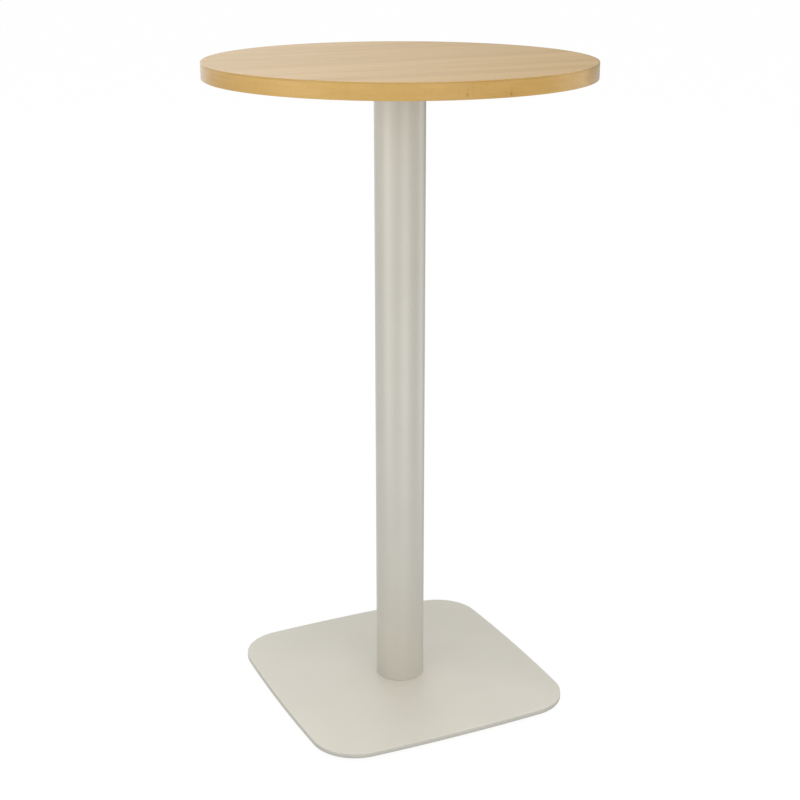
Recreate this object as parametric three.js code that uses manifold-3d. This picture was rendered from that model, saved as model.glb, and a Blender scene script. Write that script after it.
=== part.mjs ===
// Standing meeting table: a round veneered top on one steel column and a flat base plate.
// The column is a tube with a tapped disc welded into each end. Countersunk bolts hold a four-armed
// spider to its head and the base plate to its foot, wood screws hold the top to the spider, and the
// plate stands on four levelling glides whose studs turn in their feet.
// Millimetres, +Z up. The origin is on the floor below the column's axis, and the base plate's sides
// face X and Y.

import * as THREE from "three";
import { mergeVertices } from "three/addons/utils/BufferGeometryUtils.js";
import Module from "manifold-3d";

const wasm = await Module();
wasm.setup();

// Whole table
const tableHeight = 1050;
const seatGap = 0.1; // joint line between faces that bear on each other
const holeClearance = 0.3; // radial room of a fastener in its hole
const holeExtra = 1; // depth of a blind hole past the tip of what it takes
const overcut = 1; // how far a cutting tool runs past the face that it opens

// Tabletop
const topDiameter = 600;
const topThickness = 25;
const veneerThickness = 0.6;
const edgeBandThickness = 2;
const edgeBandRound = 1; // radius of the band's outer corners

// Column
const columnDiameter = 80;
const columnWall = 3;
const discThickness = 14;
const discFit = 0.2; // radial room of an end disc in the tube
const discBore = 20; // drain hole through each end disc
const boltInset = 15; // from the tube's inner wall to a bolt's axis

// Spider under the top
const spiderThickness = 6;
const spiderReach = 190; // from the axis to the end of an arm
const armTipWidth = 40;
const armRootWidth = 64;
const hubMargin = 35; // how far past the column the arms start
const screwSpacing = 60; // between the two screws of one arm

// Base plate
const basePlateWidth = 450; // across the middle of its sides
const basePlateThickness = 8;
const basePlateSideRadius = 3250; // the sides bow out a little
const basePlateCornerRadius = 75;
const basePlateArris = 0.5; // chamfer along its edges

// Countersunk bolts between the spider and the column
const spiderBoltDiameter = 8;
const spiderBoltHead = 15;
const spiderBoltLength = 16;
const spiderBoltSocket = 5; // across flats

// Countersunk bolts between the base plate and the column
const baseBoltDiameter = 10;
const baseBoltHead = 19;
const baseBoltLength = 20;
const baseBoltSocket = 6; // across flats

// Wood screws between the spider and the top
const screwDiameter = 5;
const screwLength = 20; // below its head
const screwHead = 10;
const screwHeadHeight = 3;
const screwHeadRim = 1; // height of the head's straight rim
const screwPoint = 5; // length of its point
const screwRecess = 5.4; // length of a slot of its cross recess
const screwRecessWidth = 1.2;
const screwRecessDepth = 1.6;

// Levelling glides
const glideEdgeDistance = 40; // from a rounded corner of the plate to a glide's axis
const glideHoleRoof = 1.5; // steel left above a glide's tapped hole
const glideFootDiameter = 32;
const glideFootHeight = 4;
const glideFootRound = 1; // radius of the foot's upper corner
const glideFootChamfer = 0.8; // along the edge that meets the floor
const glideFootFloor = 1.2; // under the stud's flange
const glideLip = 0.8; // the lip that holds the flange down
const glideFlangeDiameter = 14;
const glideStudDiameter = 8;
const glideStudChamfer = 0.8; // round the tip of its thread
const glideHexWidth = 13; // across flats
const glideHexHeight = 2.8;
const glideRunningFit = 0.3; // radial room of the stud in its foot

// Facets
const topSides = 96;
const columnSides = 60;
const fastenerSides = 16;
const glideSides = 20;
const arcSteps = 6; // half the steps of one arc of an outline
const roundSteps = 2; // half the steps of a small rounded corner
const weldTolerance = 1e-4; // vertices closer than this are one

// Places that follow from the dimensions
const topUnderside = tableHeight - topThickness;
const spiderTop = topUnderside - seatGap;
const spiderUnderside = spiderTop - spiderThickness;
const basePlateUnderside = glideFootHeight + glideHexHeight + 2 * seatGap;
const basePlateTop = basePlateUnderside + basePlateThickness;
const columnFoot = basePlateTop + seatGap;
const columnHead = spiderUnderside - seatGap;
const tubeBore = columnDiameter / 2 - columnWall;
const boltCircle = tubeBore - boltInset;
const quarterTurn = Math.PI / 2;
const eighthTurn = Math.PI / 4;

// Finishes
const finish = (color, roughness, metalness) =>
  new THREE.MeshStandardMaterial({ color, roughness, metalness });
const woodVeneer = finish("#cda869", 0.45, 0);
const chipboard = finish("#c4a578", 0.9, 0);
const paintedSteel = finish("#d3cfc4", 0.45, 0.1);
const zincPlate = finish("#b9bcc0", 0.35, 1);
const nylon = finish("#2f3032", 0.6, 0);

// A closed geometry as a solid that can be cut and joined.
function toSolid(geometry) {
  const bare = geometry.clone();
  bare.deleteAttribute("normal");
  bare.deleteAttribute("uv");
  const merged = mergeVertices(bare, weldTolerance);
  const corners = [];
  const index = merged.index.array;
  for (let i = 0; i < index.length; i += 3) {
    const [a, b, c] = index.slice(i, i + 3);
    const collapsed = a === b || b === c || c === a;
    if (!collapsed) corners.push(a, b, c);
  }
  return new wasm.Manifold(
    new wasm.Mesh({
      numProp: 3,
      vertProperties: merged.attributes.position.array,
      triVerts: new Uint32Array(corners),
    }),
  );
}

// A solid's surface as a geometry.
function toGeometry(solid) {
  const { vertProperties, triVerts, numProp } = solid.getMesh();
  const geometry = new THREE.BufferGeometry();
  geometry.setAttribute("position", new THREE.BufferAttribute(vertProperties, numProp));
  geometry.setIndex(new THREE.BufferAttribute(triVerts, 1));
  geometry.computeVertexNormals();
  return geometry;
}

// The geometry with every tool cut out of it.
function cut(geometry, tools) {
  const left = tools.reduce((solid, tool) => solid.subtract(toSolid(tool)), toSolid(geometry));
  return toGeometry(left);
}

// The geometries joined into one body.
function join(geometries) {
  const [first, ...rest] = geometries.map(toSolid);
  return toGeometry(rest.reduce((solid, other) => solid.add(other), first));
}

// A profile of (radius, height) points turned about the Z axis. It runs from low to high on its outside.
function revolve(path, sides) {
  const turned = new THREE.LatheGeometry(path.getPoints(roundSteps), sides).rotateX(quarterTurn);
  return toGeometry(toSolid(turned));
}

// A profile as straight lines between its points.
function profile(points) {
  return new THREE.Path(points.map(([radius, height]) => new THREE.Vector2(radius, height)));
}

// A round disc or ring between two heights.
function ring(outer, inner, low, high, sides) {
  const walls = [
    [inner, low],
    [outer, low],
    [outer, high],
    [inner, high],
  ];
  return revolve(profile(inner > 0 ? [...walls, walls[0]] : walls), sides);
}

// A regular prism with six sides, standing on its lower height.
function hexagon(acrossFlats, low, high) {
  const radius = acrossFlats / 2 / Math.cos(Math.PI / 6);
  const prism = new THREE.CylinderGeometry(radius, radius, high - low, 6).rotateX(quarterTurn);
  return prism.translate(0, 0, (low + high) / 2);
}

// A named piece of the table.
function piece(name, geometry, material) {
  const mesh = new THREE.Mesh(geometry, material);
  mesh.name = name;
  return mesh;
}

// Four places round the column's axis, a quarter turn apart.
function around(radius, start) {
  return [0, 1, 2, 3].map((turn) => {
    const angle = start + turn * quarterTurn;
    return [radius * Math.cos(angle), radius * Math.sin(angle)];
  });
}

// Bolts stand towards the sides of the base plate.
function boltPlaces() {
  return around(boltCircle, 0);
}

// Two screws hold each arm of the spider, the first four near the ends of the arms.
function screwPlaces() {
  const outer = spiderReach - armTipWidth / 2;
  return [...around(outer, eighthTurn), ...around(outer - screwSpacing, eighthTurn)];
}

// Where the round corners of the base plate have their centres, and where the bowed sides end.
function basePlateCorner() {
  const half = basePlateWidth / 2;
  const inset = basePlateSideRadius - half;
  const reach = basePlateSideRadius - basePlateCornerRadius;
  const centre = (Math.sqrt(2 * reach ** 2 - inset ** 2) - inset) / 2;
  return { centre, turn: Math.atan2(centre, centre + inset) };
}

// One glide near each corner of the base plate.
function glidePlaces() {
  const cornerReach = basePlateCorner().centre * Math.SQRT2 + basePlateCornerRadius;
  return around(cornerReach - glideEdgeDistance, eighthTurn);
}

// The tool copied to each place.
function atPlaces(tool, places) {
  return places.map(([x, y]) => tool.clone().translate(x, y, 0));
}

// A countersunk hole or bolt body: a straight shank above a cone that starts at height 0.
function countersunk(diameter, head, length, room, sides) {
  const shank = diameter / 2 + room;
  const cap = head / 2 + room;
  const shape = profile([
    [0, 0],
    [cap, 0],
    [shank, cap - shank],
    [shank, length],
    [0, length],
  ]);
  return revolve(shape, sides);
}

// A countersunk bolt with a hexagon socket, its head's face at height 0 and its tip at its length.
function countersunkBolt(diameter, head, length, socket) {
  const socketDepth = (head - diameter) / 2;
  const body = countersunk(diameter, head, length, 0, fastenerSides);
  return cut(body, [hexagon(socket, -overcut, socketDepth)]);
}

// A wood screw with a domed head and a cross recess, its head's underside at height 0, pointing up.
function woodScrew() {
  const shank = screwDiameter / 2;
  const rim = screwHead / 2;
  const outline = new THREE.Path();
  outline.moveTo(0, -screwHeadHeight);
  outline.quadraticCurveTo(rim, -screwHeadHeight, rim, -screwHeadRim);
  outline.lineTo(rim, 0);
  outline.lineTo(shank, 0);
  outline.lineTo(shank, screwLength - screwPoint);
  outline.lineTo(0, screwLength);
  const slot = new THREE.BoxGeometry(screwRecess, screwRecessWidth, 2 * screwRecessDepth);
  slot.translate(0, 0, -screwHeadHeight);
  return cut(revolve(outline, fastenerSides), [slot, slot.clone().rotateZ(quarterTurn)]);
}

// The round top: a chipboard core between two veneers, with a band round its edge.
function tabletop() {
  const group = new THREE.Group();
  const bandInside = topDiameter / 2 - edgeBandThickness;
  const board = bandInside - seatGap;
  const coreLow = veneerThickness + seatGap;
  const coreHigh = topThickness - coreLow;
  const screwTip = screwLength - spiderThickness - 2 * seatGap;
  const pilotRadius = screwDiameter / 2 + holeClearance;
  const pilot = ring(pilotRadius, 0, -overcut, screwTip + holeExtra, fastenerSides);
  const pilots = atPlaces(pilot, screwPlaces());

  const core = cut(ring(board, 0, coreLow, coreHigh, topSides), pilots);
  const backing = cut(ring(board, 0, 0, veneerThickness, topSides), pilots);
  const face = ring(board, 0, topThickness - veneerThickness, topThickness, topSides);

  const edge = topDiameter / 2;
  const round = edge - edgeBandRound;
  const band = new THREE.Path();
  band.moveTo(bandInside, 0);
  band.lineTo(round, 0);
  band.absarc(round, edgeBandRound, edgeBandRound, -quarterTurn, 0);
  band.absarc(round, topThickness - edgeBandRound, edgeBandRound, 0, quarterTurn);
  band.lineTo(bandInside, topThickness);
  band.lineTo(bandInside, 0);

  group.add(
    piece("tabletop_core", core, chipboard),
    piece("tabletop_backing_veneer", backing, woodVeneer),
    piece("tabletop_face_veneer", face, woodVeneer),
    piece("tabletop_edge_band", revolve(band, topSides), woodVeneer),
  );
  group.position.z = topUnderside;
  return group;
}

// Four tapered arms with round ends, one to each corner of the table, and hollow curves between them.
function spiderOutline() {
  const tipRadius = armTipWidth / 2;
  const rootHalf = armRootWidth / 2;
  const start = columnDiameter / 2 + hubMargin;
  const tip = spiderReach - tipRadius;
  const taper = (rootHalf - tipRadius) / (tip - start);
  const crotch = (rootHalf + taper * start) / (1 + taper);
  const outline = new THREE.Shape();
  for (let i = 0; i < 4; i++) {
    const angle = eighthTurn + i * quarterTurn;
    const along = new THREE.Vector2(Math.cos(angle), Math.sin(angle));
    const across = new THREE.Vector2(-along.y, along.x);
    const at = (reach, side) =>
      along.clone().multiplyScalar(reach).addScaledVector(across, side);
    const rootRight = at(start, -rootHalf);
    const rootLeft = at(start, rootHalf);
    const nextRoot = at(rootHalf, start);
    const bend = at(crotch, crotch);
    const tipCentre = at(tip, 0);
    if (i === 0) outline.moveTo(rootRight.x, rootRight.y);
    const tipTurn = quarterTurn - Math.atan(taper);
    outline.absarc(tipCentre.x, tipCentre.y, tipRadius, angle - tipTurn, angle + tipTurn);
    outline.lineTo(rootLeft.x, rootLeft.y);
    outline.quadraticCurveTo(bend.x, bend.y, nextRoot.x, nextRoot.y);
  }
  return outline;
}

// The spider: a flat steel star between the column and the top.
function spider() {
  const group = new THREE.Group();
  const plate = new THREE.ExtrudeGeometry(spiderOutline(), {
    depth: spiderThickness,
    curveSegments: arcSteps,
    bevelEnabled: false,
  });
  const boltHole = countersunk(
    spiderBoltDiameter,
    spiderBoltHead,
    spiderThickness + overcut,
    holeClearance,
    fastenerSides,
  );
  boltHole.rotateX(Math.PI).translate(0, 0, spiderThickness);
  const screwHole = ring(
    screwDiameter / 2 + holeClearance,
    0,
    -overcut,
    spiderThickness + overcut,
    fastenerSides,
  );
  const holes = [
    ...atPlaces(boltHole, boltPlaces()),
    ...atPlaces(screwHole, screwPlaces()),
  ];
  group.add(piece("top_spider", cut(plate, holes), paintedSteel));

  const bolt = countersunkBolt(
    spiderBoltDiameter,
    spiderBoltHead,
    spiderBoltLength,
    spiderBoltSocket,
  );
  boltPlaces().forEach(([x, y], i) => {
    const mesh = piece(`spider_bolt_${i + 1}`, bolt, zincPlate);
    mesh.position.set(x, y, spiderThickness);
    mesh.rotation.x = Math.PI;
    group.add(mesh);
  });

  const screw = woodScrew();
  screwPlaces().forEach(([x, y], i) => {
    const mesh = piece(`spider_screw_${i + 1}`, screw, zincPlate);
    mesh.position.set(x, y, -seatGap);
    group.add(mesh);
  });
  group.position.z = spiderUnderside;
  return group;
}

// A disc in one end of the tube, tapped for four bolts and bored in the middle.
function endDisc(boltDiameter) {
  const disc = ring(tubeBore - discFit, discBore / 2, 0, discThickness, columnSides);
  const tapped = ring(
    boltDiameter / 2 + holeClearance,
    0,
    -overcut,
    discThickness + overcut,
    fastenerSides,
  );
  return cut(disc, atPlaces(tapped, boltPlaces()));
}

// The column: a round tube with a disc flush with each end.
function column() {
  const group = new THREE.Group();
  const length = columnHead - columnFoot;
  const tube = ring(columnDiameter / 2, tubeBore, 0, length, columnSides);
  const headDisc = piece("column_head_disc", endDisc(spiderBoltDiameter), zincPlate);
  headDisc.position.z = length - discThickness;
  const footDisc = piece("column_foot_disc", endDisc(baseBoltDiameter), zincPlate);
  group.add(piece("column_tube", tube, paintedSteel), headDisc, footDisc);
  group.position.z = columnFoot;
  return group;
}

// A square with bowed sides and round corners, all of them arcs that run into each other.
function basePlateOutline() {
  const { centre, turn } = basePlateCorner();
  const offset = basePlateWidth / 2 - basePlateSideRadius;
  const outline = new THREE.Shape();
  for (let i = 0; i < 4; i++) {
    const angle = i * quarterTurn;
    const next = angle + quarterTurn;
    const sideX = offset * Math.cos(angle);
    const sideY = offset * Math.sin(angle);
    outline.absarc(sideX, sideY, basePlateSideRadius, angle - turn, angle + turn);
    const diagonal = centre * Math.SQRT2;
    const cornerX = diagonal * Math.cos(angle + eighthTurn);
    const cornerY = diagonal * Math.sin(angle + eighthTurn);
    outline.absarc(cornerX, cornerY, basePlateCornerRadius, angle + turn, next - turn);
  }
  return outline;
}

// The base plate, countersunk from below for its bolts and tapped part way through for its glides.
function base() {
  const group = new THREE.Group();
  const plate = new THREE.ExtrudeGeometry(basePlateOutline(), {
    depth: basePlateThickness - 2 * basePlateArris,
    curveSegments: arcSteps,
    bevelThickness: basePlateArris,
    bevelSize: basePlateArris,
    bevelOffset: -basePlateArris,
    bevelSegments: 1,
  });
  plate.translate(0, 0, basePlateArris);
  const boltHole = countersunk(
    baseBoltDiameter,
    baseBoltHead,
    basePlateThickness + overcut,
    holeClearance,
    fastenerSides,
  );
  const studHole = ring(
    glideStudDiameter / 2 + holeClearance,
    0,
    -overcut,
    basePlateThickness - glideHoleRoof,
    glideSides,
  );
  const holes = [
    ...atPlaces(boltHole, boltPlaces()),
    ...atPlaces(studHole, glidePlaces()),
  ];
  group.add(piece("base_plate", cut(plate, holes), paintedSteel));

  const bolt = countersunkBolt(baseBoltDiameter, baseBoltHead, baseBoltLength, baseBoltSocket);
  boltPlaces().forEach(([x, y], i) => {
    const mesh = piece(`base_bolt_${i + 1}`, bolt, zincPlate);
    mesh.position.set(x, y, 0);
    group.add(mesh);
  });
  group.position.z = basePlateUnderside;
  return group;
}

// A glide's foot: a nylon disc with a pocket whose lip holds the stud's flange.
function glideFoot() {
  const rim = glideFootDiameter / 2;
  const pocket = glideFlangeDiameter / 2 + glideRunningFit;
  const mouth = glideStudDiameter / 2 + glideRunningFit;
  const pocketTop = glideFootHeight - glideLip;
  const outline = new THREE.Path();
  outline.moveTo(0, 0);
  outline.lineTo(rim - glideFootChamfer, 0);
  outline.lineTo(rim, glideFootChamfer);
  outline.absarc(
    rim - glideFootRound,
    glideFootHeight - glideFootRound,
    glideFootRound,
    0,
    quarterTurn,
  );
  outline.lineTo(mouth, glideFootHeight);
  outline.lineTo(mouth, pocketTop);
  outline.lineTo(pocket, pocketTop);
  outline.lineTo(pocket, glideFootFloor);
  outline.lineTo(0, glideFootFloor);
  return revolve(outline, glideSides);
}

// A glide's stud: a flange in the foot, a hexagon that stops against the plate, and a threaded end.
function glideStud() {
  const radius = glideStudDiameter / 2;
  const flange = glideFlangeDiameter / 2;
  const flangeLow = glideFootFloor + seatGap;
  const flangeHigh = glideFootHeight - glideLip - seatGap;
  const hexLow = glideFootHeight + seatGap;
  const hexHigh = hexLow + glideHexHeight;
  const tip = basePlateTop - glideHoleRoof - holeExtra;
  const turned = profile([
    [0, flangeLow],
    [flange, flangeLow],
    [flange, flangeHigh],
    [radius, flangeHigh],
    [radius, tip - glideStudChamfer],
    [radius - glideStudChamfer, tip],
    [0, tip],
  ]);
  return join([revolve(turned, glideSides), hexagon(glideHexWidth, hexLow, hexHigh)]);
}

// Four glides, each a stud in its foot.
function glides() {
  const group = new THREE.Group();
  const foot = glideFoot();
  const stud = glideStud();
  glidePlaces().forEach(([x, y], i) => {
    const glide = new THREE.Group();
    glide.add(
      piece(`glide_foot_${i + 1}`, foot, nylon),
      piece(`glide_stud_${i + 1}`, stud, zincPlate),
    );
    glide.position.set(x, y, 0);
    group.add(glide);
  });
  return group;
}

const table = new THREE.Group();
table.add(tabletop(), spider(), column(), base(), glides());

export default table;
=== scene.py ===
"""A standing meeting table: round veneered top, painted steel column and base plate, levelling glides."""

import math

import bmesh
import bpy
from mathutils import Matrix, Vector


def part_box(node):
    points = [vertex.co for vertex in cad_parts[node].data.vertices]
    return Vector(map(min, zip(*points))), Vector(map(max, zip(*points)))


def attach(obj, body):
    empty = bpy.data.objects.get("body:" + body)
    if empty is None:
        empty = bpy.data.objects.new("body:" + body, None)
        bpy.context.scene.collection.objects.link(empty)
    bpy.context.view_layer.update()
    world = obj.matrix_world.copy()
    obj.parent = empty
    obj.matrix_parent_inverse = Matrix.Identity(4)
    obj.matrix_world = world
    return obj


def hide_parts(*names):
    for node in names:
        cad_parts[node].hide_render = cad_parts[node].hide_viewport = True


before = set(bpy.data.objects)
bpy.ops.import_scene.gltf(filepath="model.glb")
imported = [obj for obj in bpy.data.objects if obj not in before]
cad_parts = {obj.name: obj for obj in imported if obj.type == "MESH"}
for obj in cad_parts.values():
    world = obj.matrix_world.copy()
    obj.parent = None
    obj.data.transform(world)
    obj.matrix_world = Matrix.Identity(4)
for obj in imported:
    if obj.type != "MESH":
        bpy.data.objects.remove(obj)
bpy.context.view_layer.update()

bl_info = {
    "name": "Standing meeting table",
    "version": (1, 0, 0),
    "blender": (4, 5, 0),
    "location": "View3D > Sidebar > Table",
    "description": "Builds the finished pieces of a standing meeting table on its packed frame",
    "category": "Object",
}

QUARTER_TURN = math.pi / 2
EIGHTH_TURN = math.pi / 4
CORNERS = 4
ROOT = "table"
OVERCUT = 0.001
SAME_PLACE = 2e-6
PIN_KNOTS = (
    (-97.7, 0.0065, 0.44),
    (-85.1, 0.0050, 0.50),
    (-21.0, 0.0140, 0.60),
    (48.0, 0.0090, 0.80),
    (117.0, 0.0165, 0.55),
    (171.0, 0.0075, 0.70),
)


def linear(code):
    """The scene-linear colour of an sRGB code such as d3cfc4."""
    shares = [int(code[i : i + 2], 16) / 255 for i in (0, 2, 4)]
    return tuple(s / 12.92 if s <= 0.04045 else ((s + 0.055) / 1.055) ** 2.4 for s in shares)


def colour(name, description, code):
    """A colour that a user can change."""
    return bpy.props.FloatVectorProperty(
        name=name,
        description=description,
        subtype="COLOR",
        size=3,
        min=0.0,
        max=1.0,
        default=linear(code),
    )


def length(name, description, default):
    """A length in metres that a user can change."""
    return bpy.props.FloatProperty(
        name=name,
        description=description,
        subtype="DISTANCE",
        unit="LENGTH",
        default=default,
        min=0.0,
        precision=5,
    )


def angle(name, description, degrees):
    """An angle that a user can change, given in degrees."""
    return bpy.props.FloatProperty(
        name=name,
        description=description,
        subtype="ANGLE",
        unit="ROTATION",
        default=math.radians(degrees),
    )


def share(name, description, default, most=1.0):
    """A plain number from nothing to most."""
    return bpy.props.FloatProperty(
        name=name,
        description=description,
        default=default,
        min=0.0,
        max=most,
    )


def watts(name, description, default):
    """The power of a lamp."""
    return bpy.props.FloatProperty(
        name=name,
        description=description,
        unit="POWER",
        default=default,
        min=0.0,
    )


class TabletopSettings(bpy.types.PropertyGroup):
    """Sizes and colours of the round top."""

    arris: length("Arris", "Radius of the band's outer corners", 0.001)
    glue_line: length("Glue line", "Gap between the band and the veneers", 0.0001)
    # The face colours are paler and bluer than the band's: partly the face veneer's own tone, partly painted sheen for
    # the lacquer's grazing reflection.
    face_pale: colour("Face pale", "Light streaks of the face veneer", "cead76")
    face_deep: colour("Face deep", "Dark streaks of the face veneer", "b4945c")
    band_pale: colour("Band pale", "Light streaks of the edge band", "d2ac62")
    band_deep: colour("Band deep", "Dark streaks of the edge band", "c19850")
    knot: colour("Knot", "Pin knots in the edge band", "875a28")
    face_gloss: share("Face roughness", "Roughness of the lacquer on the face", 0.32)
    band_gloss: share("Band roughness", "Roughness of the lacquer on the edge band", 0.2)


class SteelSettings(bpy.types.PropertyGroup):
    """Sizes and colours of the column, base plate, spider and fasteners."""

    # The column's paint is a darker copy of the plate's powder coat: painted shade on the whole column.
    column_paint: colour("Column paint", "Powder coat on the column", "d1cec4")
    plate_paint: colour("Plate paint", "Powder coat on the base plate and the spider", "dddacf")
    column_gloss: share("Column roughness", "Roughness of the paint on the column", 0.36)
    plate_gloss: share("Plate roughness", "Roughness of the paint on the flat pieces", 0.52)
    zinc: colour("Zinc", "Plating of bolts, screws and studs", "c3c6ca")
    bare: colour("Bare", "Turned steel of the discs in the column", "8f9092")
    plate_side_radius: length("Side radius", "Radius of the base plate's bowed sides", 3.25)
    plate_corner_radius: length("Corner radius", "Radius of the base plate's corners", 0.075)
    plate_arris: length("Plate arris", "Rounding along the base plate's edges", 0.0005)
    tube_wall: length("Tube wall", "Wall of the column", 0.003)
    tube_arris: length("Tube arris", "Rounding of the column's ends", 0.0003)
    arm_tip_width: length("Arm tip width", "Width of a spider arm at its round end", 0.040)
    arm_root_width: length("Arm root width", "Width of a spider arm at the hub", 0.064)
    hub_margin: length("Hub margin", "How far past the column the arms start", 0.035)
    spider_arris: length("Spider arris", "Rounding along the spider's edges", 0.0004)
    hole_clearance: length("Hole clearance", "Radial room of a fastener in its hole", 0.0003)


class FastenerSettings(bpy.types.PropertyGroup):
    """Sizes of the bolts and screws."""

    spider_bolt: length("Spider bolt", "Diameter of a spider bolt's thread", 0.008)
    spider_bolt_socket: length("Spider bolt socket", "Width of its socket across the flats", 0.005)
    spider_bolt_pitch: length("Spider bolt pitch", "Pitch of its thread", 0.00125)
    base_bolt: length("Base bolt", "Diameter of a base bolt's thread", 0.010)
    base_bolt_socket: length("Base bolt socket", "Width of its socket across the flats", 0.006)
    base_bolt_pitch: length("Base bolt pitch", "Pitch of its thread", 0.0015)
    screw: length("Screw", "Diameter of a wood screw's thread", 0.005)
    screw_core: length("Screw core", "Diameter of a wood screw under its thread", 0.0034)
    screw_pitch: length("Screw pitch", "Pitch of its thread", 0.0022)
    screw_head_height: length("Screw head height", "Height of its domed head", 0.003)
    screw_head_rim: length("Screw head rim", "Height of the head's straight rim", 0.001)
    screw_point: length("Screw point", "Length of its point", 0.005)
    screw_recess: length("Screw recess", "Length of a slot of its cross recess", 0.0054)
    screw_recess_width: length("Screw recess width", "Width of a slot", 0.0012)
    screw_recess_depth: length("Screw recess depth", "Depth of the cross recess", 0.0016)


class GlideSettings(bpy.types.PropertyGroup):
    """Sizes and colours of the levelling glides."""

    nylon: colour("Nylon", "Moulded foot", "2f3032")
    foot_round: length("Foot rounding", "Radius of the foot's upper corner", 0.001)
    foot_chamfer: length("Foot chamfer", "Chamfer along the edge that meets the floor", 0.0008)
    foot_floor: length("Foot floor", "Thickness under the stud's flange", 0.0012)
    lip: length("Lip", "Thickness of the lip over the flange", 0.0008)
    flange_diameter: length("Flange", "Diameter of the stud's flange", 0.014)
    stud_diameter: length("Stud", "Diameter of the stud's thread", 0.008)
    stud_pitch: length("Stud pitch", "Pitch of the stud's thread", 0.00125)
    stud_chamfer: length("Stud chamfer", "Chamfer round the tip of the thread", 0.0008)
    hex_height: length("Hexagon height", "Height of the stud's hexagon", 0.0028)
    hex_width: length("Hexagon", "Width across the flats of the stud's hexagon", 0.013)
    running_fit: length("Running fit", "Radial room of the stud in its foot", 0.0003)
    seat_gap: length("Seat gap", "Gap between faces that bear on each other", 0.0001)


class StageSettings(bpy.types.PropertyGroup):
    """Camera, floor and light."""

    camera_azimuth: angle("Camera azimuth", "Where the camera stands round the table", -25.14)
    camera_distance: length("Camera distance", "From the column's axis, level with the floor", 2.2905)
    camera_height: length("Camera height", "Above the floor", 1.2781)
    camera_pitch: angle("Camera pitch", "How far the camera looks down", 18.61)
    lens: bpy.props.FloatProperty(
        name="Lens",
        description="Focal length on a sensor 36 mm wide",
        default=66.87,
        min=1.0,
        subtype="DISTANCE_CAMERA",
    )
    floor_size: length("Floor size", "Width of the floor", 60.0)
    floor_glow: share("Floor glow", "How bright the floor is to the camera", 1.03, 2.0)
    floor_colour: colour("Floor", "Pale floor and surroundings", "fafaf8")
    shadow: share("Shadow", "How much of its shadow the floor keeps", 0.08)
    ambient: share("Ambient", "Strength of the light from above the horizon", 0.6)
    # Bounce and Bounce near are painted light: the floor glows with them to diffuse rays.
    bounce: share("Bounce", "Strength of the light that the floor throws back", 1.27, 2.0)
    bounce_near: share("Bounce near", "The same close to the table, where the floor is in its shade", 0.15)
    left_wall: share("Left wall", "How white reflections are at the left", 1.05, 2.0)
    right_wall: share("Right wall", "How white reflections are at the right", 0.86)
    corner: share("Corner", "The same low down behind the table at the right", 0.22)
    low_wall: share("Low wall", "How white reflections are below the horizon", 0.62)
    low_front: share("Low front", "The same in front of the table", 0.77)
    low_back: share("Low back", "The same behind the table and at its left", 1.0)
    key: watts("Key light", "Soft box at the left", 23.8)
    fill: watts("Fill light", "Soft box at the right", 20.5)
    rim: watts("Rim light", "Soft box behind the table at the right", 21.7)
    top: watts("Top light", "Soft box above the table", 65.5)


class TableSettings(bpy.types.PropertyGroup):
    """Everything about the table that a user can change."""

    tabletop: bpy.props.PointerProperty(type=TabletopSettings)
    steel: bpy.props.PointerProperty(type=SteelSettings)
    fastener: bpy.props.PointerProperty(type=FastenerSettings)
    glide: bpy.props.PointerProperty(type=GlideSettings)
    stage: bpy.props.PointerProperty(type=StageSettings)


# Meshes


def new_piece(name, mesh):
    """An object at the origin for a mesh that is already in place."""
    piece = bpy.data.objects.new(name, mesh)
    bpy.context.scene.collection.objects.link(piece)
    return piece


def to_mesh(name, build, sharp=30.0):
    """A bmesh as a mesh with smooth faces and with sharp edges past an angle in degrees."""
    bmesh.ops.remove_doubles(build, verts=build.verts, dist=1e-7)
    bmesh.ops.recalc_face_normals(build, faces=build.faces)
    mesh = bpy.data.meshes.new(name)
    build.to_mesh(mesh)
    build.free()
    shade(mesh, sharp)
    return mesh


def shade(mesh, sharp=30.0):
    """Smooth shading that breaks at edges sharper than an angle in degrees."""
    mesh.polygons.foreach_set("use_smooth", [True] * len(mesh.polygons))
    mesh.set_sharp_from_angle(angle=math.radians(sharp))


def turned(profile, sides, closed=False):
    """A bmesh of a profile of (radius, height) points turned about the Z axis."""
    build = bmesh.new()
    rings = []
    for radius, height in profile:
        if radius < 1e-9:
            rings.append([build.verts.new((0, 0, height))])
            continue
        ring = []
        for i in range(sides):
            turn = 2 * math.pi * i / sides
            ring.append(build.verts.new((radius * math.cos(turn), radius * math.sin(turn), height)))
        rings.append(ring)
    pairs = list(zip(rings, rings[1:]))
    if closed:
        pairs.append((rings[-1], rings[0]))
    for low, high in pairs:
        for i in range(sides):
            j = (i + 1) % sides
            corners = [low[i % len(low)], low[j % len(low)], high[j % len(high)], high[i % len(high)]]
            build.faces.new(list(dict.fromkeys(corners)))
    return build


def arc(centre, radius, start, end, steps):
    """Points of an arc from one angle to another, both ends included."""
    points = []
    for i in range(steps + 1):
        turn = start + (end - start) * i / steps
        points.append((centre[0] + radius * math.cos(turn), centre[1] + radius * math.sin(turn)))
    return points


def plate(outline, low, high, arris, steps=3):
    """A bmesh of a flat plate with rounded edges along its outline."""
    build = bmesh.new()
    base = build.faces.new([build.verts.new((x, y, low)) for x, y in outline])
    raised = bmesh.ops.extrude_face_region(build, geom=[base])["geom"]
    lifted = [v for v in raised if isinstance(v, bmesh.types.BMVert)]
    bmesh.ops.translate(build, verts=lifted, vec=(0, 0, high - low))
    bmesh.ops.recalc_face_normals(build, faces=build.faces)
    rims = [e for e in build.edges if abs(e.verts[0].co.z - e.verts[1].co.z) < 1e-6]
    bmesh.ops.bevel(
        build,
        geom=rims,
        offset=arris,
        segments=steps,
        profile=0.5,
        affect="EDGES",
        clamp_overlap=False,
    )
    return build


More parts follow.
